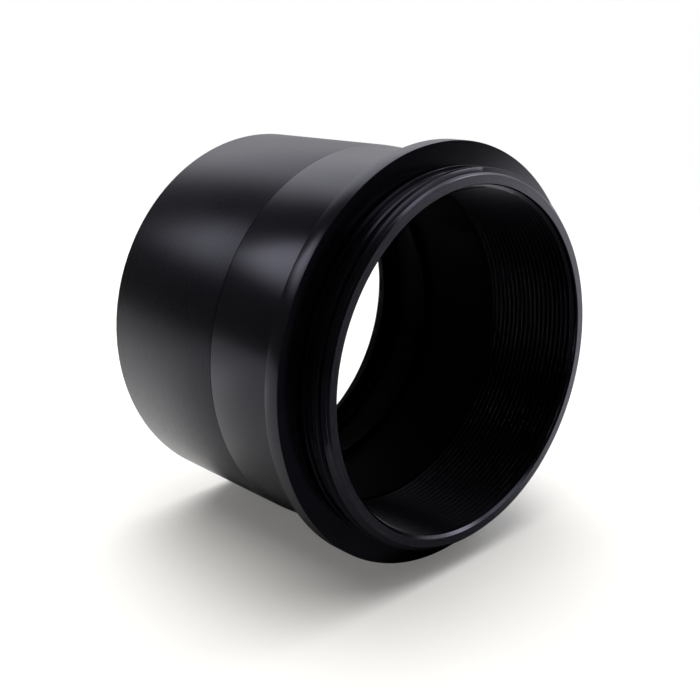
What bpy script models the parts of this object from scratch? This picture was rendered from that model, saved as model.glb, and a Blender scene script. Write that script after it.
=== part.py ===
"""Two-inch Barlow lens: a flanged front body, a screw-on lens barrel and the optics inside it.

Every piece is turned about the optical axis. A turned profile is drawn in its own XZ plane, where
x is the radius and z is the station along the axis. Station 0 is the front face of the flange,
stations grow towards the threaded end, and the finished objects lie with that end towards -Y.
All sizes are in millimetres until metres() turns them into Blender units.
"""

import math

import bmesh
import bpy

# Axial stations, front to back
STATION_LIP = 4.4
STATION_FLANGE_FRONT = 0.0
STATION_FLANGE_REAR = -2.2
STATION_SEAM = -14.4
STATION_SPIGOT_END = -22.6
STATION_SHOULDER = -23.0
STATION_LENS_SEAT = -24.2
STATION_MOUTH_FLOOR = -33.0
STATION_REAR_END = -36.3

# Radii
BARREL_R = 25.4
TAPER_R = 24.75
FLANGE_R = 26.9
MALE_CREST_R = 24.0
MALE_ROOT_R = 23.45
LIP_OUTER_R = 23.2
LIP_INNER_R = 22.2
SHOULDER_INNER_R = 24.2
SEAT_INNER_R = 25.5
FRONT_BORE_R = 21.6
SPIGOT_R = 23.6
SPIGOT_BORE_R = 23.95
SEAT_CLEAR_R = 20.8
POCKET_R = 22.6
MOUTH_R = 24.05

# Male thread
THREAD_PITCH = 0.75
THREAD_FIRST_CREST = 1.0
THREAD_CRESTS = 4
CREST_FLAT = 0.12
ROOT_FLAT = 0.12

# Optics
LENS_R = 22.3
LENS_CLEARANCE = 0.3
ELEMENT_GAP = 0.2
FRONT_CURVE = 200.0
MIDDLE_CURVE = 110.0
REAR_CURVE = 300.0
NEGATIVE_CENTRE = 1.6
POSITIVE_CENTRE = 3.0
CURVE_POINTS = 6

# Retaining ring
RING_OUTER_R = 22.3
RING_CLEAR_R = 20.6
RING_THICKNESS = 1.0
SPANNER_SLOT_WIDTH = 2.4
SPANNER_SLOT_DEPTH = 0.5

# Small edges and fits
EDGE = 0.25
MOUTH_CHAMFER = 0.45
SEAM_GAP = 0.3
SEAT_RELIEF = 0.1

SEGMENTS = 72
MERGE_DISTANCE = 0.00001

OBJECT_NAME = "barlow_lens"
CENTRE_STATION = (STATION_LIP + STATION_REAR_END) / 2.0


def metres(value):
    """Turn millimetres into metres."""
    return value / 1000.0


def clear_scene():
    """Remove every object, mesh and material the file opened with."""
    for item in list(bpy.data.objects):
        bpy.data.objects.remove(item, do_unlink=True)
    for store in (bpy.data.meshes, bpy.data.materials):
        for block in list(store):
            store.remove(block)


def new_collection(name):
    """Make a collection in the scene and return it."""
    collection = bpy.data.collections.new(name)
    bpy.context.scene.collection.children.link(collection)
    return collection


def make_material(name, colour, metallic, roughness, transmission=0.0, index=1.45):
    """Make a Principled material from its colour and surface values."""
    material = bpy.data.materials.new(name)
    material.use_nodes = True
    shader = material.node_tree.nodes["Principled BSDF"]
    shader.inputs["Base Color"].default_value = (*colour, 1.0)
    shader.inputs["Metallic"].default_value = metallic
    shader.inputs["Roughness"].default_value = roughness
    shader.inputs["Transmission Weight"].default_value = transmission
    shader.inputs["IOR"].default_value = index
    return material


def turned(name, profile, material, collection, closed):
    """Turn a profile about the optical axis and lay the result along Y.

    The profile runs down the outer side from the front. A closed profile makes a ring and
    an open one, which starts and ends on the axis, makes a solid disc.
    """
    drawing = bmesh.new()
    corners = [drawing.verts.new((metres(radius), 0.0, metres(station))) for radius, station in profile]
    for first, second in zip(corners, corners[1:]):
        drawing.edges.new((first, second))
    if closed:
        drawing.edges.new((corners[-1], corners[0]))
    mesh = bpy.data.meshes.new(name)
    drawing.to_mesh(mesh)
    drawing.free()

    piece = bpy.data.objects.new(name, mesh)
    collection.objects.link(piece)
    piece.location = (0.0, metres(CENTRE_STATION), 0.0)
    piece.rotation_euler = (math.radians(90.0), 0.0, 0.0)
    piece.data.materials.append(material)

    screw = piece.modifiers.new("turn", "SCREW")
    screw.axis = "Z"
    screw.angle = math.tau
    screw.steps = SEGMENTS
    screw.render_steps = SEGMENTS
    screw.use_merge_vertices = True
    screw.merge_threshold = MERGE_DISTANCE
    screw.use_smooth_shade = True
    return piece


def male_thread_profile():
    """Return the crests of the male thread, from the lip down to the relief groove."""
    points = []
    flank = (THREAD_PITCH - CREST_FLAT - ROOT_FLAT) / 2.0
    for index in reversed(range(THREAD_CRESTS)):
        crest = THREAD_FIRST_CREST + index * THREAD_PITCH
        points.append((MALE_ROOT_R, crest + CREST_FLAT / 2.0 + flank))
        points.append((MALE_CREST_R, crest + CREST_FLAT / 2.0))
        points.append((MALE_CREST_R, crest - CREST_FLAT / 2.0))
        points.append((MALE_ROOT_R, crest - CREST_FLAT / 2.0 - flank))
    return points


def front_body_profile():
    """Return the front body: lip, thread, flange, tapered undercut, spigot and bore.

    Each seat on the flange stands proud of a shallow relief, so that the mating part bears on the
    outer ring only and clears the thread and the taper.
    """
    lip = [
        (LIP_OUTER_R, STATION_LIP),
        (MALE_ROOT_R, STATION_LIP - EDGE),
    ]
    flange = [
        (MALE_ROOT_R, STATION_FLANGE_FRONT - SEAT_RELIEF),
        (SHOULDER_INNER_R, STATION_FLANGE_FRONT - SEAT_RELIEF),
        (SHOULDER_INNER_R, STATION_FLANGE_FRONT),
        (FLANGE_R - EDGE, STATION_FLANGE_FRONT),
        (FLANGE_R, STATION_FLANGE_FRONT - EDGE),
        (FLANGE_R, STATION_FLANGE_REAR + EDGE),
        (FLANGE_R - EDGE, STATION_FLANGE_REAR),
        (SEAT_INNER_R, STATION_FLANGE_REAR),
        (SEAT_INNER_R, STATION_FLANGE_REAR + SEAT_RELIEF),
    ]
    undercut_and_spigot = [
        (TAPER_R, STATION_FLANGE_REAR + SEAT_RELIEF),
        (BARREL_R, STATION_SEAM),
        (SPIGOT_R, STATION_SEAM),
        (SPIGOT_R, STATION_SPIGOT_END + EDGE),
        (SPIGOT_R - EDGE, STATION_SPIGOT_END),
    ]
    bore = [
        (FRONT_BORE_R, STATION_SPIGOT_END),
        (FRONT_BORE_R, STATION_LIP - (LIP_INNER_R - FRONT_BORE_R)),
        (LIP_INNER_R, STATION_LIP),
    ]
    return lip + male_thread_profile() + flange + undercut_and_spigot + bore


def lens_barrel_profile():
    """Return the lens barrel: smooth outside, rear mouth, lens pocket, seat and spigot bore."""
    front = STATION_SEAM - SEAM_GAP
    outside = [
        (BARREL_R - EDGE / 2.0, front),
        (BARREL_R, front - EDGE / 2.0),
        (BARREL_R, STATION_REAR_END + MOUTH_CHAMFER),
        (BARREL_R - MOUTH_CHAMFER, STATION_REAR_END),
    ]
    mouth = [
        (MOUTH_R + MOUTH_CHAMFER, STATION_REAR_END),
        (MOUTH_R, STATION_REAR_END + MOUTH_CHAMFER),
        (MOUTH_R, STATION_MOUTH_FLOOR),
    ]
    pocket = [
        (POCKET_R, STATION_MOUTH_FLOOR),
        (POCKET_R, STATION_LENS_SEAT),
        (SEAT_CLEAR_R, STATION_LENS_SEAT),
        (SEAT_CLEAR_R, STATION_SHOULDER),
    ]
    spigot_bore = [
        (SPIGOT_BORE_R, STATION_SHOULDER),
        (SPIGOT_BORE_R, front - EDGE),
        (SPIGOT_BORE_R + EDGE, front),
    ]
    return outside + mouth + pocket + spigot_bore


def sag(curve, radius):
    """Return the depth of a spherical surface at a distance from the axis."""
    return curve - math.sqrt(curve * curve - radius * radius)


def optical_surface(vertex, curve, outwards):
    """Return points along a spherical surface that sags towards the rear for curve > 0.

    The points run from the axis to the rim, or from the rim to the axis when outwards is false.
    """
    points = []
    for index in range(CURVE_POINTS + 1):
        radius = LENS_R * index / CURVE_POINTS
        points.append((radius, vertex - math.copysign(sag(abs(curve), radius), curve)))
    return points if outwards else points[::-1]


def lens_stations():
    """Return the stations of the four optical surfaces where they cross the axis."""
    negative_front = STATION_LENS_SEAT - LENS_CLEARANCE - sag(FRONT_CURVE, LENS_R)
    negative_rear = negative_front - NEGATIVE_CENTRE
    positive_front = negative_rear - ELEMENT_GAP
    positive_rear = positive_front - POSITIVE_CENTRE
    return negative_front, negative_rear, positive_front, positive_rear


def negative_lens_profile():
    """Return the element that is hollow on both sides."""
    front, rear, _, _ = lens_stations()
    return optical_surface(front, -FRONT_CURVE, True) + optical_surface(rear, MIDDLE_CURVE, False)


def positive_lens_profile():
    """Return the meniscus whose round front sits in the hollow rear of the negative element."""
    _, _, front, rear = lens_stations()
    return optical_surface(front, MIDDLE_CURVE, True) + optical_surface(rear, REAR_CURVE, False)


def ring_stations():
    """Return the front and rear stations of the retaining ring."""
    rim = positive_lens_profile()[CURVE_POINTS + 1][1]
    front = rim - LENS_CLEARANCE
    return front, front - RING_THICKNESS


def retaining_ring(material, collection, cutters):
    """Build the threaded ring that holds the lens, with two spanner slots in its rear face."""
    front, rear = ring_stations()
    profile = [
        (RING_OUTER_R, front),
        (RING_OUTER_R, rear),
        (RING_CLEAR_R + EDGE, rear),
        (RING_CLEAR_R, rear + EDGE),
        (RING_CLEAR_R, front),
    ]
    ring = turned("lens_retaining_ring", profile, material, collection, closed=True)

    bpy.ops.mesh.primitive_cube_add(size=1.0)
    cutter = bpy.context.object
    cutter.name = "spanner_slot_cutter"
    cutter.scale = (metres(3.0 * RING_OUTER_R), metres(2.0 * SPANNER_SLOT_DEPTH), metres(SPANNER_SLOT_WIDTH))
    cutter.location = (0.0, metres(CENTRE_STATION - rear), 0.0)
    for owner in list(cutter.users_collection):
        owner.objects.unlink(cutter)
    cutters.objects.link(cutter)
    cutter.hide_render = True
    cutter.display_type = "WIRE"

    slots = ring.modifiers.new("spanner_slots", "BOOLEAN")
    slots.operation = "DIFFERENCE"
    slots.solver = "EXACT"
    slots.object = cutter
    return ring


def main():
    """Build the Barlow lens."""
    clear_scene()
    parts = new_collection(OBJECT_NAME)
    cutters = new_collection("cutters")

    body_black = make_material("front_body_black", (0.024, 0.024, 0.03), 0.6, 0.30)
    barrel_black = make_material("lens_barrel_black", (0.030, 0.030, 0.036), 0.6, 0.42)
    ring_black = make_material("ring_black", (0.012, 0.012, 0.014), 0.3, 0.55)
    crown_glass = make_material("crown_glass", (0.98, 1.0, 0.99), 0.0, 0.0, 1.0, 1.52)
    flint_glass = make_material("flint_glass", (0.99, 0.99, 0.97), 0.0, 0.0, 1.0, 1.62)

    turned("front_body", front_body_profile(), body_black, parts, closed=True)
    turned("lens_barrel", lens_barrel_profile(), barrel_black, parts, closed=True)
    turned("negative_lens", negative_lens_profile(), crown_glass, parts, closed=False)
    turned("positive_lens", positive_lens_profile(), flint_glass, parts, closed=False)
    retaining_ring(ring_black, parts, cutters)


main()
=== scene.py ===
"""Looks for a two-inch Barlow lens: black anodised tubes, cut threads and a coated doublet.

Everything is turned about the optical axis. A station is a distance along that axis in millimetres:
station 0 is the front face of the flange and stations grow towards the threaded end, which lies at -Y.
"""

import logging
import math
from dataclasses import dataclass, field
from enum import Enum
from typing import Any, Iterable, Optional, Sequence, Union

import bmesh
import bpy
from mathutils import Matrix, Vector


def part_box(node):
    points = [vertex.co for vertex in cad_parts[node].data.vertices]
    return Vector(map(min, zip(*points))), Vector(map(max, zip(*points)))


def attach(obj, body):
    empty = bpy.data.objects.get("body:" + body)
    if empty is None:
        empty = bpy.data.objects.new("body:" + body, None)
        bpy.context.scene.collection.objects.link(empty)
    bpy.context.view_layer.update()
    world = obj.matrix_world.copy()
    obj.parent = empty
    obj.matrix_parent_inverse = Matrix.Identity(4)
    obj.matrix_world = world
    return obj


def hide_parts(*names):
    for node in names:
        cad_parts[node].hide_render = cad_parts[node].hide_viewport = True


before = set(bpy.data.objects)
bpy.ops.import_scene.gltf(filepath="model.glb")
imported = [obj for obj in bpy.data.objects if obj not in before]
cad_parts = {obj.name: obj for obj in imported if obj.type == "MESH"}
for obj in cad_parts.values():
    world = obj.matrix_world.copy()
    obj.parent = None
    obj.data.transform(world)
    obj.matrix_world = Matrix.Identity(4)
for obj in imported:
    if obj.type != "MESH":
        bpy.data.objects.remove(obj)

LOG = logging.getLogger("barlow_lens")

MM = 0.001
COLUMNS = 240
LENS_COLUMNS = 144
WELD = 0.000002
FINE_PITCH = 0.5
AXIS_FREE = (1.0, 0.0, 1.0)
SHARP_EDGE = math.radians(28.0)

Point = tuple[float, float]
Colour = tuple[float, float, float]
Value = Union["Wire", float]


class Body(Enum):
    """The two bodies of the frame."""

    FRONT = "front_body"
    BARREL = "lens_barrel"


class Side(Enum):
    """Which side of a wall a thread is cut on."""

    OUTSIDE = 1.0
    INSIDE = -1.0


class Wire:
    """One socket's value, so that node maths can be written as an expression."""

    def __init__(self, board: "Board", socket: bpy.types.NodeSocket) -> None:
        """Wrap a socket of a board."""
        self.board = board
        self.socket = socket

    def maths(self, operation: str, *values: Value) -> "Wire":
        """Add a Math node.

        Args:
            operation: The Math node's operation.
            values: Its inputs in order.

        Returns:
            The node's result.
        """
        node = self.board.node("ShaderNodeMath", {"operation": operation}, dict(enumerate(values)))
        return self.board.out(node)

    def __add__(self, other: Value) -> "Wire":
        """Return self + other."""
        return self.maths("ADD", self, other)

    def __radd__(self, other: float) -> "Wire":
        """Return other + self."""
        return self.maths("ADD", other, self)

    def __sub__(self, other: Value) -> "Wire":
        """Return self - other."""
        return self.maths("SUBTRACT", self, other)

    def __rsub__(self, other: float) -> "Wire":
        """Return other - self."""
        return self.maths("SUBTRACT", other, self)

    def __mul__(self, other: Value) -> "Wire":
        """Return self * other."""
        return self.maths("MULTIPLY", self, other)

    def __rmul__(self, other: float) -> "Wire":
        """Return other * self."""
        return self.maths("MULTIPLY", other, self)

    def __truediv__(self, other: Value) -> "Wire":
        """Return self / other."""
        return self.maths("DIVIDE", self, other)

    def __abs__(self) -> "Wire":
        """Return the absolute value."""
        return self.maths("ABSOLUTE", self)

    def fract(self) -> "Wire":
        """Return the part after the decimal point."""
        return self.maths("FRACT", self)

    def least(self, other: Value) -> "Wire":
        """Return the smaller of two values."""
        return self.maths("MINIMUM", self, other)

    def most(self, other: Value) -> "Wire":
        """Return the larger of two values."""
        return self.maths("MAXIMUM", self, other)

    def rise(self, low: float, high: float) -> "Wire":
        """Return a smooth step from 0 at low to 1 at high."""
        settings = {"interpolation_type": "SMOOTHSTEP"}
        node = self.board.node("ShaderNodeMapRange", settings, {"Value": self, "From Min": low, "From Max": high})
        return self.board.out(node)

    def window(self, low: float, high: float, soft: float) -> "Wire":
        """Return 1 between low and high and 0 outside, with soft edges."""
        return self.rise(low - soft, low + soft) * (1.0 - self.rise(high - soft, high + soft))


class Board:
    """A node tree that nodes are added to."""

    def __init__(self, tree: bpy.types.NodeTree) -> None:
        """Start from an empty tree."""
        self.tree = tree
        tree.nodes.clear()

    def node(
        self, kind: str, settings: Optional[dict[str, Any]] = None, inputs: Optional[dict[Any, Any]] = None
    ) -> bpy.types.Node:
        """Add a node of any type.

        Args:
            kind: The node's type.
            settings: Attributes of the node, set before its sockets.
            inputs: A value, wire or socket for each input, by index, identifier or name.

        Returns:
            The new node.
        """
        node = self.tree.nodes.new(kind)
        for name, value in (settings or {}).items():
            setattr(node, name, value)
        for key, value in (inputs or {}).items():
            socket = self.pick(node.inputs, key)
            if isinstance(value, Wire):
                self.tree.links.new(value.socket, socket)
            elif isinstance(value, bpy.types.NodeSocket):
                self.tree.links.new(value, socket)
            else:
                socket.default_value = value
        return node

    @staticmethod
    def pick(sockets: Iterable[bpy.types.NodeSocket], key: Union[int, str]) -> bpy.types.NodeSocket:
        """Find a socket by index, identifier or name."""
        if isinstance(key, int):
            return sockets[key]
        return next((s for s in sockets if s.identifier == key), None) or sockets[key]

    def out(self, node: bpy.types.Node, key: Union[int, str] = 0) -> Wire:
        """Return one output of a node as a wire."""
        return Wire(self, self.pick(node.outputs, key))

    def blend(self, factor: Value, first: Any, second: Any) -> Wire:
        """Mix two colours.

        Args:
            factor: 0 for the first colour and 1 for the second.
            first: A colour or a wire.
            second: A colour or a wire.

        Returns:
            The mixed colour.
        """
        inputs = {"Factor_Float": factor, "A_Color": opaque(first), "B_Color": opaque(second)}
        node = self.node("ShaderNodeMix", {"data_type": "RGBA"}, inputs)
        return self.out(node, "Result_Color")

    def curve(self, value: Wire, points: Sequence[Point]) -> Wire:
        """Look a value up on a line through points.

        Args:
            value: The value, from 0 to 1.
            points: The corners of the line, the first at 0 and the last at 1.

        Returns:
            The line's height at the value.
        """
        node = self.node("ShaderNodeFloatCurve", None, {"Value": value})
        line = node.mapping.curves[0].points
        for corner in points[1:-1]:
            line.new(*corner)
        for place, corner in zip(line, points):
            place.location = corner
            place.handle_type = "VECTOR"
        node.mapping.update()
        return self.out(node)

    def noise(self, place: Wire, scale: float, detail: float) -> Wire:
        """Return a noise pattern over a place."""
        inputs = {"Vector": place, "Scale": scale, "Detail": detail}
        return self.out(self.node("ShaderNodeTexNoise", None, inputs))

    def length(self, place: Wire) -> Wire:
        """Return how far a place lies from the origin."""
        return self.out(self.node("ShaderNodeVectorMath", {"operation": "LENGTH"}, {0: place}), "Value")

    def from_axis(self, place: Wire) -> Wire:
        """Return a place without its part along the optical axis."""
        return self.out(self.node("ShaderNodeVectorMath", {"operation": "MULTIPLY"}, {0: place, 1: AXIS_FREE}))

    def lines(self, distance: Wire, scale: float, detail: float) -> Wire:
        """Return a noise pattern that changes along one distance only."""
        inputs = {"W": distance, "Scale": scale, "Detail": detail}
        return self.out(self.node("ShaderNodeTexNoise", {"noise_dimensions": "1D"}, inputs))


def opaque(colour: Any) -> Any:
    """Give a plain colour its fourth number."""
    return (*colour, 1.0) if isinstance(colour, tuple) and len(colour) == 3 else colour


def new_material(name: str) -> tuple[bpy.types.Material, Board]:
    """Make a material and return it with its empty board."""
    material = bpy.data.materials.new(name)
    material.use_nodes = True
    return material, Board(material.node_tree)


@dataclass(frozen=True)
class Anodising:
    """A black anodised finish on turned aluminium."""

    name: str
    colour: Colour
    worn_colour: Colour
    roughness: float
    roughness_spread: float
    turning_depth: float
    grain_depth: float
    index: float = 1.6
    tint: Colour = (0.80, 0.79, 1.0)
    turning_scale: float = 5200.0
    grain_scale: float = 9000.0
    cloud_scale: float = 140.0
    dust_scale: float = 420.0
    dust_share: float = 0.985
    dust_colour: Colour = (0.10, 0.10, 0.11)
    dust_size: Point = (0.03, 0.07)
    dust_softness: float = 0.002
    dust_roughness: float = 0.3
    cloud_range: Point = (0.3, 0.75)
    sheen_level: float = 0.5

    def material(self) -> bpy.types.Material:
        """Build the finish.

        Returns:
            The material, whose marks follow the Object coordinates of the piece.
        """
        material, board = new_material(self.name)
        place = board.out(board.node("ShaderNodeTexCoord"), "Object")
        parts = board.node("ShaderNodeSeparateXYZ", None, {0: place})
        radius = board.length(board.from_axis(place))
        tool_path = board.out(parts, "Y") + radius
        turning = board.lines(tool_path, self.turning_scale, 2.0)
        grain = board.noise(place, self.grain_scale, 2.0)
        cloud = board.noise(place, self.cloud_scale, 3.0)

        cells = board.node("ShaderNodeTexVoronoi", None, {"Vector": place, "Scale": self.dust_scale})
        chosen = board.out(board.node("ShaderNodeSeparateColor", None, {0: board.out(cells, "Color")}))
        near = 1.0 - board.out(cells, "Distance").rise(*self.dust_size)
        dust = near * chosen.rise(self.dust_share, self.dust_share + self.dust_softness)

        shade = (cloud.rise(*self.cloud_range) * 0.6 + turning * 0.4) * (0.7 + 0.6 * grain)
        anodised = board.blend(shade, self.colour, self.worn_colour)
        colour = board.blend(dust, anodised, self.dust_colour)
        spread = (cloud - 0.5) * 0.6 + (turning - 0.5) * 0.6 + (grain - 0.5) * 0.4
        roughness = self.roughness + self.roughness_spread * spread + dust * self.dust_roughness
        height = turning * self.turning_depth + grain * self.grain_depth
        bump_inputs = {"Height": height, "Distance": MM, "Strength": 1.0}
        bump = board.out(board.node("ShaderNodeBump", None, bump_inputs))
        shader = board.node(
            "ShaderNodeBsdfPrincipled",
            None,
            {
                "Base Color": colour,
                "Roughness": roughness,
                "IOR": self.index,
                "Specular IOR Level": self.sheen_level,
                "Specular Tint": opaque(self.tint),
                "Normal": bump,
            },
        )
        board.node("ShaderNodeOutputMaterial", None, {"Surface": shader.outputs[0]})
        return material


@dataclass(frozen=True)
class CoatedGlass:
    """Clear glass with an anti-reflection coating and a ground, blackened rim."""

    name: str
    body_colour: Colour
    coating_colour: Colour
    index: float
    clear_radius: float
    rim_softness: float = 0.06
    coating_share: float = 0.35
    smear_share: float = 0.15
    polish: float = 0.02
    paint: Colour = (0.0006, 0.0006, 0.0007)
    worn_paint: Colour = (0.0016, 0.0016, 0.0018)

    def material(self) -> bpy.types.Material:
        """Build the glass.

        Returns:
            The material: clear glass that doesn't bend light inside the clear radius, and black paint
            outside it.
        """
        material, board = new_material(self.name)
        place = board.out(board.node("ShaderNodeTexCoord"), "Object")
        radius = board.length(board.from_axis(place))
        rim = radius.rise(self.clear_radius * MM, (self.clear_radius + self.rim_softness) * MM)

        facing = board.out(board.node("ShaderNodeLayerWeight", None, {"Blend": 0.5}), "Facing")
        normal_share = ((self.index - 1.0) / (self.index + 1.0)) ** 2
        mirrored = normal_share + (1.0 - normal_share) * facing.maths("POWER", facing, 5.0)
        smear = board.noise(place, 90.0, 4.0)
        clear = board.node("ShaderNodeBsdfTransparent", None, {"Color": opaque(self.body_colour)})
        shine = board.node(
            "ShaderNodeBsdfGlossy", None, {"Color": opaque(self.coating_colour), "Roughness": self.polish}
        )
        coated = mirrored * (self.coating_share + self.smear_share * smear)
        glass = board.node("ShaderNodeMixShader", None, {0: coated, 1: clear.outputs[0], 2: shine.outputs[0]})
        paint_colour = board.blend(board.noise(place, 1600.0, 3.0), self.paint, self.worn_paint)
        paint_inputs = {"Base Color": paint_colour, "Roughness": 0.75, "IOR": 1.1}
        paint = board.node("ShaderNodeBsdfPrincipled", None, paint_inputs)
        surface = board.node("ShaderNodeMixShader", None, {0: rim, 1: glass.outputs[0], 2: paint.outputs[0]})
        board.node("ShaderNodeOutputMaterial", None, {"Surface": surface.outputs[0]})
        return material


class Finishes:
    """Every finish of the object, made once."""

    def __init__(self) -> None:
        """Build the materials."""
        self.satin = Anodising(
            "satin_black", (0.0009, 0.0009, 0.0016), (0.0022, 0.0022, 0.0034),
            0.28, 0.09, 0.0002, 0.0011, index=1.60
        ).material()
        self.turned = Anodising(
            "turned_black", (0.0006, 0.0006, 0.001), (0.0016, 0.0016, 0.0022),
            0.20, 0.07, 0.0004, 0.0003, index=1.68
        ).material()
        self.faced = Anodising(
            "faced_black", (0.0115, 0.0111, 0.0145), (0.0190, 0.0184, 0.0235),
            0.28, 0.08, 0.0005, 0.0004, index=1.93
        ).material()
        self.thread = Anodising(
            "thread_black", (0.0006, 0.0006, 0.001), (0.0016, 0.0016, 0.0022),
            0.15, 0.05, 0.0003, 0.0002, index=1.52
        ).material()
        self.bore = Anodising(
            "bore_black", (0.0002, 0.0002, 0.0003), (0.0007, 0.0007, 0.0009),
            0.22, 0.06, 0.0003, 0.0003,
            index=1.38, dust_share=0.97,
        ).material()
        self.matt = Anodising(
            "matt_black", (0.0002, 0.0002, 0.0002), (0.0005, 0.0005, 0.0006),
            0.65, 0.10, 0.0006, 0.0004,
            index=1.08, dust_share=0.995,
        ).material()
        self.ring = Anodising(
            "ring_black", (0.0008, 0.0008, 0.0010), (0.0020, 0.0020, 0.0024),
            0.45, 0.12, 0.0008, 0.0008, index=1.15
        ).material()
        self.crown = CoatedGlass("crown_coated", (0.995, 1.0, 0.997), (0.72, 1.0, 0.84), 1.52, 21.7).material()
        self.flint = CoatedGlass("flint_coated", (0.998, 1.0, 0.995), (0.80, 0.66, 1.0), 1.62, 21.7).material()


class ThreadTree:
    """The Geometry Nodes tree that cuts a helical thread into a round wall.

    A flat grid is rolled up. Its rows lean by one pitch per turn, so that the crest line of one turn
    meets the next one at the seam, and rows past either end fold on to a plain ring there. Each turn
    has eight rows: five close together round its crest, and three at its root. The rows fill whole
    turns, so that the last one reaches the end ring all the way round.
    """

    LENGTHS = ("Front", "Start", "Length", "Pitch", "Crest", "Root", "Low Radius", "High Radius")
    NUMBERS = ("Low Slope", "High Slope", "Side")
    ROWS_PER_TURN = 8
    ROW_PLACES = ((0.0, 0.0), (0.25, 0.14), (0.5, 0.88), (0.75, 0.94), (1.0, 1.0))
    ROW_HEIGHTS = ((0.0, 0.0), (0.25, 0.0), (0.5, 0.969), (0.75, 0.993), (1.0, 1.0))

    def __init__(self) -> None:
        """Draw the tree."""
        self.tree = bpy.data.node_groups.new("threaded_wall", "GeometryNodeTree")
        face = self.tree.interface
        for name in ("Columns", "Rows"):
            face.new_socket(name, in_out="INPUT", socket_type="NodeSocketInt")
        for name in self.LENGTHS + self.NUMBERS:
            face.new_socket(name, in_out="INPUT", socket_type="NodeSocketFloat")
        face.new_socket("Material", in_out="INPUT", socket_type="NodeSocketMaterial")
        face.new_socket("Geometry", in_out="OUTPUT", socket_type="NodeSocketGeometry")
        self.draw(Board(self.tree))

    def draw(self, board: Board) -> None:
        """Add the nodes to the empty tree."""
        given = board.node("NodeGroupInput")
        take = {name: board.out(given, name) for name in ("Columns", "Rows") + self.LENGTHS + self.NUMBERS}
        grid = board.node(
            "GeometryNodeMeshGrid",
            None,
            {
                "Size X": 1.0,
                "Size Y": 1.0,
                "Vertices X": take["Columns"] + 1.0,
                "Vertices Y": take["Rows"],
            },
        )
        flat = board.node("ShaderNodeSeparateXYZ", None, {0: board.out(board.node("GeometryNodeInputPosition"))})
        turn = board.out(flat, "X") + 0.5
        row = board.out(flat, "Y") + 0.5

        turns = row * (take["Rows"] - 1.0) / float(self.ROWS_PER_TURN)
        phase = turns.fract()
        from_root = abs(phase * 2.0 - 1.0)
        half = phase.maths("GREATER_THAN", phase, 0.5) - 0.5
        leaned = turns - phase + 0.5 + half * board.curve(from_root, self.ROW_PLACES) + turn - 1.0
        rise = (leaned * take["Pitch"]).most(0.0).least(take["Length"])
        height = board.curve(from_root, self.ROW_HEIGHTS)
        cut = take["Root"] + (take["Crest"] - take["Root"]) * height

        side = take["Side"]
        low = side * take["Low Radius"] + rise * take["Low Slope"]
        high = side * take["High Radius"] + (take["Length"] - rise) * take["High Slope"]
        inside_ends = (side * cut).least(low).least(high)
        at_low = rise.maths("LESS_THAN", rise, 1e-9)
        at_high = rise.maths("GREATER_THAN", rise, take["Length"] - 1e-9)
        middle = (1.0 - at_low) * (1.0 - at_high)
        radius = side * inside_ends * middle + take["Low Radius"] * at_low + take["High Radius"] * at_high

        angle = turn * math.tau
        place = board.node(
            "ShaderNodeCombineXYZ",
            None,
            {
                "X": radius * angle.maths("COSINE", angle),
                "Y": take["Front"] - take["Start"] - rise,
                "Z": radius * angle.maths("SINE", angle),
            },
        )
        moved_inputs = {"Geometry": grid.outputs["Mesh"], "Position": board.out(place)}
        moved = board.node("GeometryNodeSetPosition", None, moved_inputs)
        welded = board.node("GeometryNodeMergeByDistance", None, {"Geometry": moved.outputs[0], "Distance": WELD})
        real = board.node("GeometryNodeRealizeInstances", None, {"Geometry": welded.outputs[0]})
        painted_inputs = {"Geometry": real.outputs[0], "Material": board.out(given, "Material")}
        painted = board.node("GeometryNodeSetMaterial", None, painted_inputs)
        board.node("NodeGroupOutput", None, {"Geometry": painted.outputs[0]})

    def identifier(self, name: str) -> str:
        """Return the identifier of a named input."""
        items = self.tree.interface.items_tree
        return next(item.identifier for item in items if item.name == name and item.in_out == "INPUT")


@dataclass(frozen=True)
class Thread:
    """A thread on one wall. Stations and radii are in millimetres."""

    start: float
    end: float
    crest: float
    root: float
    start_radius: float
    end_radius: float
    side: Side
    pitch: float = 0.75
    start_slope: float = 1.0
    end_slope: float = 1.0

    def mesh(self, tree: ThreadTree, front: float, material: bpy.types.Material) -> bpy.types.Mesh:
        """Cut the thread.

        Args:
            tree: The tree that makes it.
            front: The place of station 0 along Y, in metres.
            material: Its finish.

        Returns:
            The wall as a plain mesh.
        """
        whole_turns = math.ceil((self.end - self.start) / self.pitch + 1.0)
        rows = whole_turns * ThreadTree.ROWS_PER_TURN
        values = {
            "Columns": COLUMNS,
            "Rows": rows + 1,
            "Front": front,
            "Start": self.start * MM,
            "Length": (self.end - self.start) * MM,
            "Pitch": self.pitch * MM,
            "Crest": self.crest * MM,
            "Root": self.root * MM,
            "Low Radius": self.start_radius * MM,
            "High Radius": self.end_radius * MM,
            "Low Slope": self.start_slope,
            "High Slope": self.end_slope,
            "Side": self.side.value,
            "Material": material,
        }
        holder = bpy.data.objects.new("thread", bpy.data.meshes.new("thread"))
        bpy.context.scene.collection.objects.link(holder)
        modifier = holder.modifiers.new("thread", "NODES")
        modifier.node_group = tree.tree
        for name, value in values.items():
            modifier[tree.identifier(name)] = value
        evaluated = holder.evaluated_get(bpy.context.evaluated_depsgraph_get())
        made = bpy.data.meshes.new_from_object(evaluated)
        bpy.data.objects.remove(holder, do_unlink=True)
        return made


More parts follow.
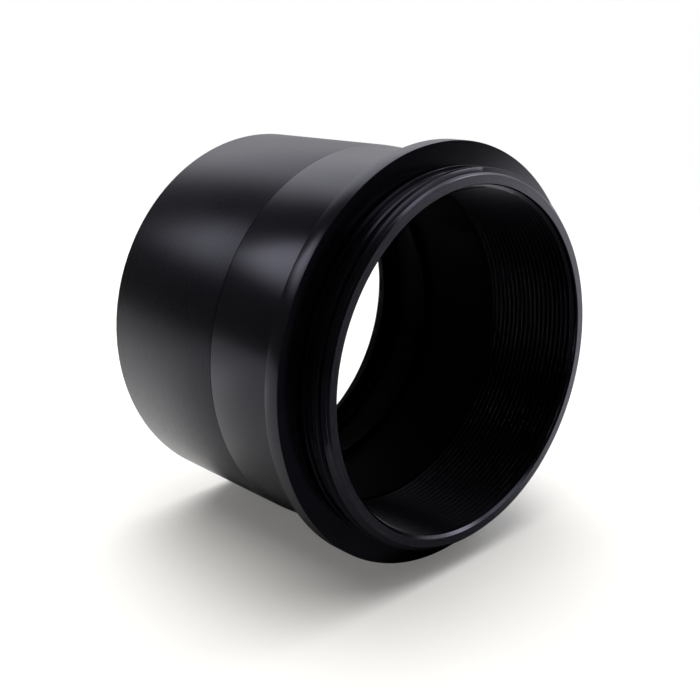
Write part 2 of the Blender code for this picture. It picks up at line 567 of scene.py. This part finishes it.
def rounded_corner(corner: Point, before: Point, after: Point, size: float, steps: int = 3) -> list[Point]:
    """Round one corner of a profile.

    Args:
        corner: The corner.
        before: The point before it.
        after: The point after it.
        size: How far from the corner the rounding starts.
        steps: How many edges it has.

    Returns:
        The points that take the corner's place.
    """
    middle = Vector(corner)
    ends = []
    for other in (before, after):
        way = Vector(other) - middle
        ends.append(middle + way.normalized() * min(size, way.length * 0.45))
    points = []
    for step in range(steps + 1):
        share = step / steps
        point = ends[0] * (1 - share) ** 2 + middle * 2 * share * (1 - share) + ends[1] * share**2
        points.append((point.x, point.y))
    return points


def rounded(points: Sequence[Point], size: float) -> list[Point]:
    """Round every inner corner of a profile and keep its two ends."""
    made = [points[0]]
    for before, corner, after in zip(points, points[1:], points[2:]):
        made += rounded_corner(corner, before, after, size)
    return made + [points[-1]]


class TurnedPiece:
    """A piece put together from turned and threaded walls, then closed."""

    def __init__(self, name: str, front: float, tree: Optional[ThreadTree] = None) -> None:
        """Start an empty piece.

        Args:
            name: The piece's name.
            front: The place of station 0 along Y, in metres.
            tree: The tree that cuts threads.
        """
        self.name = name
        self.front = front
        self.tree = tree
        self.shape = bmesh.new()
        self.materials: list[bpy.types.Material] = []

    def slot(self, material: bpy.types.Material) -> int:
        """Return the index of a finish in this piece."""
        if material not in self.materials:
            self.materials.append(material)
        return self.materials.index(material)

    def turn(self, points: Sequence[Point], material: bpy.types.Material, columns: int = COLUMNS) -> None:
        """Turn a profile about the axis.

        Args:
            points: Radius and station of each corner. A radius of 0 makes a pole.
            material: The finish of the wall.
            columns: How many sides a full turn has.
        """
        index = self.slot(material)
        rings: list[list[bmesh.types.BMVert]] = []
        for radius, station in points:
            y = self.front - station * MM
            if radius <= 0.0:
                rings.append([self.shape.verts.new((0.0, y, 0.0))])
                continue
            angles = (math.tau * column / columns for column in range(columns))
            rings.append(
                [self.shape.verts.new((radius * MM * math.cos(a), y, radius * MM * math.sin(a))) for a in angles]
            )
        for first, second in zip(rings, rings[1:]):
            for column in range(columns):
                following = (column + 1) % columns
                corners = [
                    first[column % len(first)],
                    first[following % len(first)],
                    second[following % len(second)],
                    second[column % len(second)],
                ]
                distinct = list(dict.fromkeys(corners))
                self.shape.faces.new(distinct).material_index = index

    def cut(
        self, thread: Thread, material: bpy.types.Material, edge: Optional[tuple[float, bpy.types.Material]] = None
    ) -> None:
        """Add a threaded wall.

        Args:
            thread: The thread to cut.
            material: Its finish.
            edge: A station and the finish of the faces beyond it, for a chamfer.
        """
        index = self.slot(material)
        made = thread.mesh(self.tree, self.front, material)
        before = len(self.shape.faces)
        self.shape.from_mesh(made)
        self.shape.faces.ensure_lookup_table()
        for face in self.shape.faces[before:]:
            face.material_index = index
            if edge and self.front - face.calc_center_median().y > edge[0] * MM:
                face.material_index = self.slot(edge[1])
        bpy.data.meshes.remove(made)

    def close(self) -> bpy.types.Object:
        """Weld the walls into one closed mesh.

        Returns:
            The finished object, at the origin.
        """
        bmesh.ops.remove_doubles(self.shape, verts=self.shape.verts, dist=WELD)
        bmesh.ops.dissolve_degenerate(self.shape, edges=self.shape.edges, dist=WELD / 10.0)
        bmesh.ops.recalc_face_normals(self.shape, faces=self.shape.faces)
        open_edges = sum(1 for edge in self.shape.edges if len(edge.link_faces) != 2)
        mesh = bpy.data.meshes.new(self.name)
        self.shape.to_mesh(mesh)
        self.shape.free()
        for material in self.materials:
            mesh.materials.append(material)
        mesh.shade_smooth()
        mesh.set_sharp_from_angle(angle=SHARP_EDGE)
        piece = bpy.data.objects.new(self.name, mesh)
        bpy.context.scene.collection.objects.link(piece)
        LOG.info("%s: %d faces, %d open edges", self.name, len(mesh.polygons), open_edges)
        return piece


def place_piece(piece: bpy.types.Object, body: Body, node: str) -> bpy.types.Object:
    """Tie a finished piece to the frame.

    Args:
        piece: The finished piece.
        body: The body it rides on.
        node: The node of the frame that it stands for.

    Returns:
        The same piece.
    """
    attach(piece, body.value)
    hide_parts(node)
    LOG.info("%s rides on %s", piece.name, body.value)
    return piece


@dataclass
class FrontBody:
    """The front body: lip, camera thread, flange, tapered undercut, spigot and threaded bore."""

    front: float
    lip: float = 4.4
    lip_inner: float = 22.15
    lip_outer: float = 23.2
    crest: float = 24.0
    root: float = 23.45
    relief: float = 23.3
    land: tuple[float, float] = (0.62, 1.08)
    thread_start: float = 1.9
    flange_radius: float = 26.9
    flange_rear: float = -2.2
    taper_radius: float = 24.75
    barrel_radius: float = 25.4
    seam: float = -14.4
    spigot_end: float = -22.6
    spigot_crest: float = 23.6
    spigot_root: float = 23.15
    spigot_end_radius: float = 23.2
    spigot_relief: float = 0.8
    spigot_neck: float = 23.1
    bore_crest: float = 21.6
    bore_root: float = 22.02
    bore_thread_end: float = -10.0
    edge: float = 0.10
    fine_edge: float = 0.04
    chamfer: float = 0.75

    def outside(self) -> list[Point]:
        """Return the profile from the end of the camera thread to the start of the spigot thread."""
        low, high = self.land
        land = [
            (self.root, self.thread_start),
            (self.root, high + 0.02),
            (self.crest, high),
            (self.crest, low),
            (self.relief, low - 0.15),
            (self.relief, low - 0.3),
        ]
        flange = [
            land[-1],
            (self.relief, 0.0),
            (self.flange_radius, 0.0),
            (self.flange_radius, self.flange_rear),
            (self.taper_radius, self.flange_rear),
            (self.taper_radius + 0.06, self.flange_rear - 1.1),
        ]
        seam = [
            flange[-1],
            (self.barrel_radius, self.seam),
            (self.spigot_neck, self.seam),
            (self.spigot_neck, self.seam - self.spigot_relief),
        ]
        walls = ((land, self.fine_edge), (flange, self.edge), (seam, self.fine_edge))
        return land[:1] + [point for wall, size in walls for point in rounded(wall, size)[1:]]

    def build(self, tree: ThreadTree, finishes: Finishes) -> bpy.types.Object:
        """Build the front body.

        Args:
            tree: The tree that cuts threads.
            finishes: The object's finishes.

        Returns:
            The finished piece.
        """
        piece = TurnedPiece("front_body_shell", self.front, tree)
        annulus = [
            (self.lip_inner, self.lip),
            (self.lip_inner + 0.05, self.lip),
            (self.lip_outer - 0.05, self.lip),
            (self.lip_outer, self.lip),
        ]
        camera_thread = Thread(
            self.thread_start, self.lip, self.crest, self.root, self.root, self.lip_outer, Side.OUTSIDE
        )
        spigot_thread = Thread(
            self.spigot_end, self.seam - self.spigot_relief, self.spigot_crest, self.spigot_root,
            self.spigot_end_radius, self.spigot_neck, Side.OUTSIDE,
        )
        tail = [
            (self.spigot_end_radius, self.spigot_end),
            (self.bore_crest + self.edge, self.spigot_end),
            (self.bore_crest, self.spigot_end + self.edge),
        ]
        bore_thread = Thread(
            self.bore_thread_end, self.lip, self.bore_crest, self.bore_root, self.bore_crest, self.lip_inner,
            Side.INSIDE, end_slope=0.75,
        )
        piece.turn(annulus, finishes.faced)
        piece.cut(camera_thread, finishes.thread, (self.lip - self.chamfer, finishes.turned))
        piece.turn(self.outside(), finishes.turned)
        piece.cut(spigot_thread, finishes.turned)
        piece.turn(tail, finishes.turned)
        piece.turn([tail[-1], (self.bore_crest, self.bore_thread_end)], finishes.matt)
        piece.cut(bore_thread, finishes.bore, (self.lip - self.chamfer, finishes.turned))
        return place_piece(piece.close(), Body.FRONT, "front_body")


@dataclass
class LensBarrel:
    """The lens barrel: satin tube, filter thread, lens pocket and seat, and the bore for the spigot."""

    front: float
    radius: float = 25.4
    seam: float = -14.44
    rear: float = -36.3
    chamfer: float = 0.45
    mouth_end_radius: float = 24.15
    mouth_crest: float = 23.65
    mouth_root: float = 24.05
    mouth_thread_end: float = -33.4
    mouth_floor: float = -33.0
    pocket_radius: float = 22.6
    pocket_root: float = 22.78
    pocket_thread_end: float = -30.8
    seat: float = -24.2
    shoulder: float = -23.0
    clear_radius: float = 20.8
    socket_crest: float = 23.72
    socket_root: float = 24.15
    socket_chamfer: float = 0.35
    edge: float = 0.10

    def build(self, tree: ThreadTree, finishes: Finishes) -> bpy.types.Object:
        """Build the barrel.

        Args:
            tree: The tree that cuts threads.
            finishes: The object's finishes.

        Returns:
            The finished piece.
        """
        piece = TurnedPiece("lens_barrel_shell", self.front, tree)
        tube = [
            (self.socket_root + self.socket_chamfer, self.seam),
            (self.radius, self.seam),
            (self.radius, self.rear + self.chamfer),
            (self.radius - self.chamfer, self.rear),
            (self.mouth_end_radius, self.rear),
        ]
        mouth = Thread(
            self.rear, self.mouth_thread_end, self.mouth_crest, self.mouth_root, self.mouth_end_radius,
            self.mouth_root, Side.INSIDE,
        )
        step = [
            (self.mouth_root, self.mouth_thread_end),
            (self.mouth_root, self.mouth_floor),
            (self.pocket_root, self.mouth_floor),
        ]
        pocket = Thread(
            self.mouth_floor, self.pocket_thread_end, self.pocket_radius, self.pocket_root, self.pocket_root,
            self.pocket_radius, Side.INSIDE, pitch=FINE_PITCH,
        )
        cell = [
            (self.pocket_radius, self.pocket_thread_end),
            (self.pocket_radius, self.seat),
            (self.clear_radius, self.seat),
            (self.clear_radius, self.shoulder),
            (self.socket_crest, self.shoulder),
        ]
        socket = Thread(
            self.shoulder, self.seam - self.socket_chamfer, self.socket_crest, self.socket_root,
            self.socket_crest, self.socket_root, Side.INSIDE,
        )
        piece.turn(rounded(tube, self.edge), finishes.satin)
        piece.cut(mouth, finishes.bore)
        piece.turn(step, finishes.matt)
        piece.cut(pocket, finishes.matt)
        piece.turn(cell, finishes.matt)
        piece.cut(socket, finishes.bore)
        chamfer = [
            (self.socket_root, self.seam - self.socket_chamfer),
            (self.socket_root + self.socket_chamfer, self.seam),
        ]
        piece.turn(chamfer, finishes.turned)
        return place_piece(piece.close(), Body.BARREL, "lens_barrel")


@dataclass
class Doublet:
    """The two lens elements and the ring that holds them."""

    front: float
    radius: float = 22.3
    seat: float = -24.5
    front_curve: float = 200.0
    middle_curve: float = 110.0
    rear_curve: float = 300.0
    negative_centre: float = 1.6
    positive_centre: float = 3.0
    gap: float = 0.2
    bevel: float = 0.12
    rings: int = 20
    ring_outer: float = 22.3
    ring_thread_crest: float = 22.5
    ring_clear: float = 20.6
    ring_thickness: float = 1.0
    ring_clearance: float = 0.3
    ring_edge: float = 0.2
    slot_size: Point = (2.4, 0.5)
    slot_cutter: float = 60.0
    vertices: list[float] = field(default_factory=list)

    def __post_init__(self) -> None:
        """Work out where the four surfaces cross the axis."""
        first = self.seat - self.sag(self.front_curve, self.radius)
        second = first - self.negative_centre
        third = second - self.gap
        self.vertices = [first, second, third, third - self.positive_centre]

    @staticmethod
    def sag(curve: float, radius: float) -> float:
        """Return the depth of a spherical surface at a distance from the axis."""
        return curve - math.sqrt(curve * curve - radius * radius)

    def surface(self, vertex: float, curve: float) -> list[Point]:
        """Return the points of a spherical surface from the axis to the rim."""
        reach = self.radius - self.bevel
        radii = [reach * index / self.rings for index in range(self.rings + 1)]
        return [(r, vertex - math.copysign(self.sag(abs(curve), r), curve)) for r in radii]

    def element(
        self, name: str, first: list[Point], second: list[Point], material: bpy.types.Material
    ) -> bpy.types.Object:
        """Close two surfaces into one lens element.

        Args:
            name: The element's name.
            first: Its front surface, from the axis out.
            second: Its rear surface, from the axis out.
            material: Its glass.

        Returns:
            The finished piece.
        """
        piece = TurnedPiece(name, self.front)
        rim = [(self.radius, first[-1][1] - self.bevel), (self.radius, second[-1][1] + self.bevel)]
        piece.turn(first + rim + second[::-1], material, LENS_COLUMNS)
        return piece.close()

    def ring(self, tree: ThreadTree, finishes: Finishes) -> bpy.types.Object:
        """Build the threaded ring with its two spanner slots.

        Args:
            tree: The tree that cuts threads.
            finishes: The object's finishes.

        Returns:
            The finished piece.
        """
        start = self.surface(self.vertices[3], self.rear_curve)[-1][1] + self.bevel - self.ring_clearance
        end = start - self.ring_thickness
        piece = TurnedPiece("retaining_ring", self.front, tree)
        thread = Thread(
            end, start, self.ring_thread_crest, self.ring_outer, self.ring_outer, self.ring_outer, Side.OUTSIDE,
            pitch=FINE_PITCH,
        )
        inner = rounded(
            [(self.ring_outer, end), (self.ring_clear, end), (self.ring_clear, start), (self.ring_outer, start)],
            self.ring_edge,
        )
        piece.cut(thread, finishes.ring)
        piece.turn(inner, finishes.ring)
        ring = piece.close()

        width, depth = self.slot_size
        knife_mesh = bpy.data.meshes.new("slot_knife")
        block = bmesh.new()
        size = Matrix.Diagonal((self.slot_cutter * MM, 2.0 * depth * MM, width * MM, 1.0))
        bmesh.ops.create_cube(block, size=1.0, matrix=Matrix.Translation((0.0, self.front - end * MM, 0.0)) @ size)
        block.to_mesh(knife_mesh)
        block.free()
        knife = bpy.data.objects.new("slot_knife", knife_mesh)
        bpy.context.scene.collection.objects.link(knife)
        slots = ring.modifiers.new("slots", "BOOLEAN")
        slots.operation = "DIFFERENCE"
        slots.solver = "EXACT"
        slots.object = knife
        bpy.context.view_layer.update()
        whole = ring.data
        ring.data = bpy.data.meshes.new_from_object(ring.evaluated_get(bpy.context.evaluated_depsgraph_get()))
        ring.modifiers.clear()
        ring.data.set_sharp_from_angle(angle=SHARP_EDGE)
        for extra in (knife_mesh, whole):
            bpy.data.meshes.remove(extra)
        return ring

    def build(self, tree: ThreadTree, finishes: Finishes) -> list[bpy.types.Object]:
        """Build the lenses and the ring.

        Args:
            tree: The tree that cuts threads.
            finishes: The object's finishes.

        Returns:
            The finished pieces.
        """
        faces = [
            self.surface(self.vertices[0], -self.front_curve),
            self.surface(self.vertices[1], self.middle_curve),
            self.surface(self.vertices[2], self.middle_curve),
            self.surface(self.vertices[3], self.rear_curve),
        ]
        negative = self.element("negative_element", faces[0], faces[1], finishes.crown)
        positive = self.element("positive_element", faces[2], faces[3], finishes.flint)
        ring = self.ring(tree, finishes)
        return [
            place_piece(negative, Body.BARREL, "negative_lens"),
            place_piece(positive, Body.BARREL, "positive_lens"),
            place_piece(ring, Body.BARREL, "lens_retaining_ring"),
        ]


@dataclass(frozen=True)
class Pane:
    """A soft-edged bright patch of the room. Angles are in degrees, each a low, a high and a softness."""

    azimuth: tuple[float, float, float]
    elevation: tuple[float, float, float]
    level: float


@dataclass
class Studio:
    """The camera, the floor and the light round the object."""

    eye: tuple[float, float, float] = (-91.75, -99.16, 41.89)
    right: tuple[float, float, float] = (0.7321, -0.6805, -0.0298)
    up: tuple[float, float, float] = (0.2330, 0.2090, 0.9500)
    lens: float = 53.4
    floor_normal: tuple[float, float, float] = (0.0, -0.04374, 0.99904)
    floor_touch: tuple[float, float, float] = (0.0, -14.0, -26.9)
    floor_size: float = 4000.0
    floor_colour: Colour = (0.82, 0.815, 0.785)
    # Painted glow: the camera sees the floor glowing by this much, which lightens its shadows. Reflections see it
    # glowing by the next amount at far right.
    painted_floor_glow: float = 0.15
    painted_right_reflection_glow: float = 0.6
    ahead: tuple[float, float, float] = (0.674, 0.739, 0.0)
    across: tuple[float, float, float] = (0.739, -0.674, 0.0)
    backdrop: float = 0.55
    high_backdrop: float = 1.05
    room: float = 0.06
    dark_room: float = 0.02
    lamp: float = 1.9
    overhead: float = 2.1
    panes: tuple[Pane, ...] = (
        Pane((52.0, 76.0, 8.0), (34.0, 50.0, 6.0), 3.2),
        Pane((84.0, 140.0, 9.0), (45.0, 60.0, 6.0), 1.3),
        Pane((84.0, 107.0, 9.0), (26.0, 44.0, 6.0), 0.4),
    )
    room_colour: Colour = (0.955, 0.952, 1.0)
    softbox_power: float = 2.95
    softbox_size: float = 0.66
    softbox_place: tuple[float, float, float] = (0.01, 0.06, 0.44)
    softbox_colour: Colour = (1.0, 0.99, 0.965)
    # Colour of the painted floor glow.
    painted_glow_colour: Colour = (1.0, 0.985, 0.955)
    # Colour of the painted darkness that reflections see in place of the lit floor.
    painted_reflection_dark: Colour = (0.04, 0.04, 0.045)

    def camera(self) -> None:
        """Stand the camera where the object is seen from the front left."""
        across = Vector(self.right).normalized()
        up = (Vector(self.up) - across * across.dot(Vector(self.up))).normalized()
        back = across.cross(up)
        data = bpy.data.cameras.new("camera")
        data.lens = self.lens
        data.sensor_width = 36.0
        data.clip_start = 0.005
        data.clip_end = 20.0
        eye = bpy.data.objects.new("camera", data)
        turn = Matrix((across, up, back)).transposed().to_4x4()
        eye.matrix_world = Matrix.Translation(Vector(self.eye) * MM) @ turn
        bpy.context.scene.collection.objects.link(eye)
        bpy.context.scene.camera = eye

    def floor_material(self) -> bpy.types.Material:
        """Build the pale floor.

        Returns:
            A white material. The camera sees it with a painted glow that lightens its shadows, and as plain
            white further out. Mirrored in the object, it shows painted darkness in place of the lit floor in
            front of it and at its left, and a painted glow at far right.
        """
        material, board = new_material("pale_floor")
        place = board.out(board.node("ShaderNodeTexCoord"), "Object")
        forward = self.measure(board, place, self.ahead)
        sideways = self.measure(board, place, self.across)
        # Painted reflection: glossy rays see painted darkness instead of the lit floor in front of the object, at
        # its left, and more of it further out at its left. These masks are 1 where the reflected floor stays lit.
        near_lit_reflection = (forward - abs(sideways) * 0.05).rise(-16.0 * MM, 6.0 * MM)
        right_lit_reflection = ((forward + 14.0 * MM) / (sideways.most(0.0) * 0.09 + 12.0 * MM)).most(0.0).least(1.0)
        lit_reflection_mask = near_lit_reflection + (right_lit_reflection - near_lit_reflection) * sideways.rise(60.0 * MM, 200.0 * MM)
        near_painted_dark = 0.60 + 0.40 * sideways.rise(-25.0 * MM, 15.0 * MM)
        near_painted_dark = near_painted_dark.most((0.0 - forward).rise(40.0 * MM, 70.0 * MM))
        leftwards = 0.0 - sideways
        far_painted_dark = 0.6 * leftwards.rise(20.0 * MM, 200.0 * MM)
        far_painted_dark = far_painted_dark + 0.3 * leftwards.rise(200.0 * MM, 600.0 * MM)
        ray = board.node("ShaderNodeLightPath")
        # Share of painted darkness that reflections see in place of the floor.
        painted_dark_share = board.out(ray, "Is Glossy Ray") * ((1.0 - lit_reflection_mask) * near_painted_dark).most(far_painted_dark)
        grain = board.noise(place, 900.0, 2.0)
        paper = board.blend(grain, self.floor_colour, tuple(0.985 * part for part in self.floor_colour))
        white = board.node("ShaderNodeBsdfDiffuse", None, {"Color": paper})
        dark = board.node("ShaderNodeBsdfDiffuse", None, {"Color": opaque(self.painted_reflection_dark)})
        both = board.node("ShaderNodeMixShader", None, {0: painted_dark_share, 1: white.outputs[0], 2: dark.outputs[0]})
        # Painted glow: reflections see the floor glowing at far right. The camera sees it glowing a little
        # everywhere, which lightens its shadows.
        painted_far_right_glow = board.out(ray, "Is Glossy Ray") * lit_reflection_mask * sideways.rise(150.0 * MM, 340.0 * MM)
        glow = board.out(ray, "Is Camera Ray") * self.painted_floor_glow + painted_far_right_glow * self.painted_right_reflection_glow
        unlit = board.node("ShaderNodeEmission", None, {"Color": opaque(self.painted_glow_colour), "Strength": 0.0})
        bright = board.node("ShaderNodeEmission", None, {"Color": opaque(self.painted_glow_colour), "Strength": 1.0})
        painted_glow = board.node("ShaderNodeMixShader", None, {0: glow, 1: unlit.outputs[0], 2: bright.outputs[0]})
        lit = board.node("ShaderNodeAddShader", None, {0: both.outputs[0], 1: painted_glow.outputs[0]})
        away = board.length(place)
        far = away.rise(0.12, 0.24) * board.out(ray, "Is Camera Ray")
        blank = board.node("ShaderNodeEmission", None, {"Color": (1.0, 1.0, 1.0, 1.0), "Strength": 1.0})
        surface = board.node("ShaderNodeMixShader", None, {0: far, 1: lit.outputs[0], 2: blank.outputs[0]})
        board.node("ShaderNodeOutputMaterial", None, {"Surface": surface.outputs[0]})
        return material

    @staticmethod
    def measure(board: Board, place: Wire, direction: tuple[float, float, float]) -> Wire:
        """Return how far a place lies along a direction."""
        node = board.node("ShaderNodeVectorMath", {"operation": "DOT_PRODUCT"}, {0: place, 1: direction})
        return board.out(node, "Value")

    def floor(self) -> None:
        """Lay the floor under the flange and the rear end of the barrel."""
        normal = Vector(self.floor_normal).normalized()
        middle = Vector(self.floor_touch) * MM
        side = normal.orthogonal().normalized()
        other = normal.cross(side)
        half = self.floor_size * MM / 2.0
        mesh = bpy.data.meshes.new("floor")
        signs = ((-1, -1), (1, -1), (1, 1), (-1, 1))
        corners = [middle + side * half * a + other * half * b for a, b in signs]
        mesh.from_pydata(corners, [], [(0, 1, 2, 3)])
        mesh.materials.append(self.floor_material())
        floor = bpy.data.objects.new("floor", mesh)
        bpy.context.scene.collection.objects.link(floor)

    def light(self) -> None:
        """Light the room.

        What the object mirrors is a pale backdrop, a dark left side with one lamp, light from above
        and three panes at the right. The camera sees plain white instead. A softbox above casts the
        shadow, and neither the camera nor a reflection shows it.
        """
        world = bpy.data.worlds.new("studio")
        bpy.context.scene.world = world
        world.use_nodes = True
        board = Board(world.node_tree)
        way = board.out(board.node("ShaderNodeTexCoord"), "Generated")
        forward = self.measure(board, way, self.ahead)
        sideways = self.measure(board, way, self.across)
        azimuth = forward.maths("ARCTAN2", sideways, forward) * (180.0 / math.pi)
        height = self.measure(board, way, (0.0, 0.0, 1.0))
        elevation = height.maths("ARCSINE", height) * (180.0 / math.pi)

        screen = azimuth.window(-32.0, 70.0, 12.0) * (1.0 - elevation.rise(56.0, 72.0))
        level = self.backdrop + (self.high_backdrop - self.backdrop) * elevation.rise(8.0, 30.0)
        lamp = azimuth.rise(-95.0, -72.0) * (1.0 - azimuth.rise(-66.0, -62.0))
        lamp = lamp * elevation.window(26.5, 42.0, 5.0)
        above = elevation.rise(58.0, 72.0) * azimuth.window(-78.0, 128.0, 14.0)
        room = self.dark_room + (self.room - self.dark_room) * azimuth.window(-120.0, -20.0, 12.0)
        total = room + screen * level + lamp * self.lamp + above * self.overhead
        for pane in self.panes:
            total = total + azimuth.window(*pane.azimuth) * elevation.window(*pane.elevation) * pane.level
        glow = board.node("ShaderNodeBackground", None, {"Color": opaque(self.room_colour), "Strength": total})
        plain = board.node("ShaderNodeBackground", None, {"Color": (1.0, 1.0, 1.0, 1.0), "Strength": 1.0})
        seen = board.out(board.node("ShaderNodeLightPath"), "Is Camera Ray")
        mixed = board.node("ShaderNodeMixShader", None, {0: seen, 1: glow.outputs[0], 2: plain.outputs[0]})
        board.node("ShaderNodeOutputWorld", None, {"Surface": mixed.outputs[0]})

        softbox = bpy.data.lights.new("softbox", "AREA")
        softbox.shape = "DISK"
        softbox.size = self.softbox_size
        softbox.energy = self.softbox_power
        softbox.color = self.softbox_colour
        lamp_object = bpy.data.objects.new("softbox", softbox)
        place = Vector(self.softbox_place)
        turn = place.to_track_quat("Z", "Y").to_matrix().to_4x4()
        lamp_object.matrix_world = Matrix.Translation(place) @ turn
        lamp_object.visible_camera = False
        lamp_object.visible_glossy = False
        bpy.context.scene.collection.objects.link(lamp_object)
        bpy.context.scene.view_settings.view_transform = "Standard"

    def build(self) -> None:
        """Build the whole studio."""
        self.camera()
        self.floor()
        self.light()


def main() -> None:
    """Build the object, then the studio."""
    logging.basicConfig(level=logging.INFO, format="%(name)s: %(message)s")
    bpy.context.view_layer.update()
    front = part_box("front_body")[0].y + FrontBody.lip * MM
    finishes = Finishes()
    tree = ThreadTree()
    FrontBody(front).build(tree, finishes)
    LensBarrel(front).build(tree, finishes)
    Doublet(front).build(tree, finishes)
    Studio().build()


if __name__ == "__main__":
    main()
